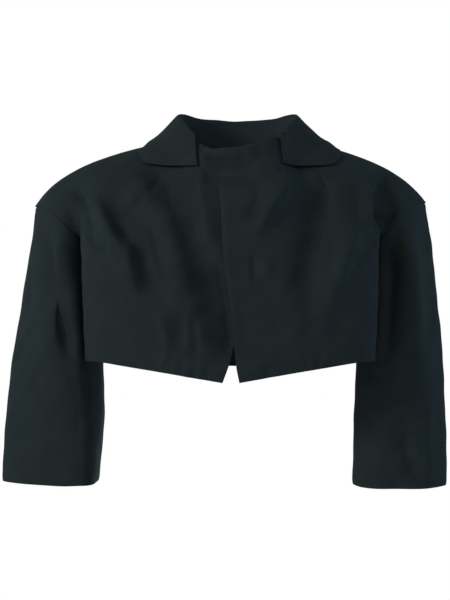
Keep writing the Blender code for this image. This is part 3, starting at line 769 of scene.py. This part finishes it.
COLLAR_BACK = (
    Crease((-0.050, 0.030), (-0.056, 0.012), (-0.060, -0.004), (0.012, 0.012), -0.0012),
    Crease((0.070, 0.030), (0.074, 0.012), (0.080, -0.004), (0.012, 0.012), 0.0012),
)


@dataclass
class Blazer:
    """The whole jacket, panel by panel."""

    finish: Suiting = field(default_factory=Suiting)

    def panels(self) -> list[Panel]:
        """Lists the pieces, each with its cut, its folds and its seams.

        Returns:
            The pieces in the order they are sewn.
        """
        cloth = Ripple(height=0.00060, longest=0.110, shortest=0.024, waves=9, seed=11)
        slight_turn, flat_turn, steep_turn = math.radians(40.0), math.radians(50.0), math.radians(60.0)
        forward, backward, upward = (0.0, -1.0, 0.0), (0.0, 1.0, 0.0), (0.0, 0.0, 1.0)
        rightward, leftward = (-1.0, 0.0, 0.0), (1.0, 0.0, 0.0)
        return [
            Panel("front_right", (0.338, 0.358, 0.0925), flat_turn, forward,
                  {Side.FRONT: RIGHT_FRONT_CREASES + NECK_CREASES}, cloth, rests_on=("back",),
                  sewn_to=("back", "sleeve_right", "collar")),
            Panel("front_left", (0.338, 0.355, 0.0892), flat_turn, forward,
                  {Side.FRONT: LEFT_FRONT_CREASES + NECK_CREASES}, cloth, rests_on=("front_right", "back"),
                  sewn_to=("back", "sleeve_left", "collar")),
            Panel("back", (0.532, 0.325, 0.1246), slight_turn, backward,
                  {Side.BACK: BACK_CREASES}, cloth,
                  sewn_to=("front_right", "front_left", "sleeve_right", "sleeve_left", "collar")),
            Sleeve("sleeve_right", (0.410, 0.351, 0.1230), flat_turn, rightward,
                   {Side.FRONT: RIGHT_SLEEVE_FRONT, Side.BACK: RIGHT_SLEEVE_BACK}, cloth,
                   rests_on=("front_right", "back"), sewn_to=("front_right", "back")),
            Sleeve("sleeve_left", (0.379, 0.357, 0.1172), flat_turn, leftward,
                   {Side.FRONT: LEFT_SLEEVE_FRONT, Side.BACK: LEFT_SLEEVE_BACK}, cloth,
                   rests_on=("front_left", "back"), sewn_to=("front_left", "back")),
            Panel("collar", (0.176, 0.379, 0.0396), steep_turn, upward,
                  {Side.FRONT: COLLAR_FRONT, Side.BACK: COLLAR_BACK}, cloth,
                  grain=Grain.ACROSS, rests_on=("front_left", "front_right", "back"),
                  sewn_to=("front_left", "front_right", "back"),
                  seam_reach=0.0030, edge_roll=0.0026, edge_width=0.018),
        ]

    def make(self) -> None:
        """Builds every piece, sews them together, and then creases and dresses each."""
        material = self.finish.material()
        panels = self.panels()
        for panel in panels:
            panel.build()
        rims = {panel.node: panel.rim_points() for panel in panels}
        for panel in panels:
            panel.sew([rims[node] for node in panel.sewn_to])
        for panel in panels:
            panel.shape()
            panel.dress(material)
            LOG.info("%s: %d faces", panel.piece.name, len(panel.piece.data.polygons))


@dataclass(frozen=True)
class Lamp:
    """A soft studio light that looks at the jacket."""

    name: str
    place: tuple[float, float, float]
    size: float
    watts: float
    colour: tuple[float, float, float]

    def hang(self, target: Vector) -> None:
        """Puts the light up.

        Args:
            target: Where it points.
        """
        data = bpy.data.lights.new(self.name, "AREA")
        data.shape = "DISK"
        data.size = self.size
        data.energy = self.watts
        data.color = self.colour
        lamp = bpy.data.objects.new(self.name, data)
        lamp.location = self.place
        lamp.rotation_euler = (target - Vector(self.place)).to_track_quat("-Z", "Y").to_euler()
        bpy.context.scene.collection.objects.link(lamp)


@dataclass(frozen=True)
class Studio:
    """White room, floor, lights and the camera that takes the photograph's view."""

    camera_place: tuple[float, float, float] = (-0.00625, -2.0, -0.19125)
    lens: float = 96.0
    sensor: float = 36.0
    backdrop: float = 1.0
    backdrop_colour: Colour = (1.0, 1.0, 1.0, 1.0)
    fill: float = 0.20
    fill_colour: Colour = (0.72, 0.93, 1.0, 1.0)
    floor_height: float = -1.30
    floor_size: float = 7.0
    floor_colour: Colour = (0.86, 0.86, 0.86, 1.0)
    floor_roughness: float = 0.9
    lamps: tuple[Lamp, ...] = (
        Lamp("key_left", (-2.0, -1.6, 0.6), 0.6, 34.0, (0.92, 1.0, 0.97)),
        Lamp("front", (0.3, -2.3, 0.8), 1.6, 18.0, (1.0, 0.97, 0.95)),
        Lamp("rim_right", (2.0, 0.1, 0.2), 0.8, 9.0, (0.40, 0.70, 1.0)),
        Lamp("rim_left", (-1.8, 0.8, 0.5), 0.8, 5.0, (0.86, 1.0, 1.0)),
        Lamp("behind", (0.5, 2.6, -0.3), 1.2, 9.0, (0.90, 0.98, 1.0)),
    )

    def set_up(self) -> None:
        """Makes the room, the lights and the camera."""
        scene = bpy.context.scene
        scene.view_settings.view_transform = "Standard"
        self._room()
        self._floor()
        low, high = CAD_BOX
        for lamp in self.lamps:
            lamp.hang((low + high) / 2)
        data = bpy.data.cameras.new("photo_view")
        data.lens = self.lens
        data.sensor_width = self.sensor
        camera = bpy.data.objects.new("photo_view", data)
        camera.location = self.camera_place
        camera.rotation_euler = (math.pi / 2, 0.0, 0.0)
        scene.collection.objects.link(camera)
        scene.camera = camera

    def _room(self) -> None:
        """Soft light from all round, behind a pure white backdrop."""
        world = bpy.data.worlds.new("white_room")
        world.use_nodes = True
        bpy.context.scene.world = world
        bench = Bench(world.node_tree)
        soft = bench.node("ShaderNodeBackground", {}, {"Color": self.fill_colour, "Strength": self.fill})
        seen = bench.node(
            "ShaderNodeBackground", {}, {"Color": self.backdrop_colour, "Strength": self.backdrop}
        )
        straight = bench.node("ShaderNodeLightPath", {}, {}, "Is Camera Ray")
        both = bench.node("ShaderNodeMixShader", {}, {0: straight, 1: soft, 2: seen})
        bench.node("ShaderNodeOutputWorld", {}, {"Surface": both})

    def _floor(self) -> None:
        """A plain pale floor, well below the jacket."""
        bpy.ops.object.select_all(action="DESELECT")
        bpy.ops.mesh.primitive_plane_add(size=self.floor_size, location=(0.0, 0.0, self.floor_height))
        floor = bpy.context.active_object
        floor.name = "studio_floor"
        paint = bpy.data.materials.new("pale_floor")
        paint.use_nodes = True
        surface = paint.node_tree.nodes["Principled BSDF"]
        surface.inputs["Base Color"].default_value = self.floor_colour
        surface.inputs["Roughness"].default_value = self.floor_roughness
        floor.data.materials.append(paint)


def main() -> None:
    """Sets up the studio and makes the jacket."""
    logging.basicConfig(level=logging.INFO, format="%(message)s")
    Studio().set_up()
    Blazer().make()


if __name__ == "__main__":
    main()
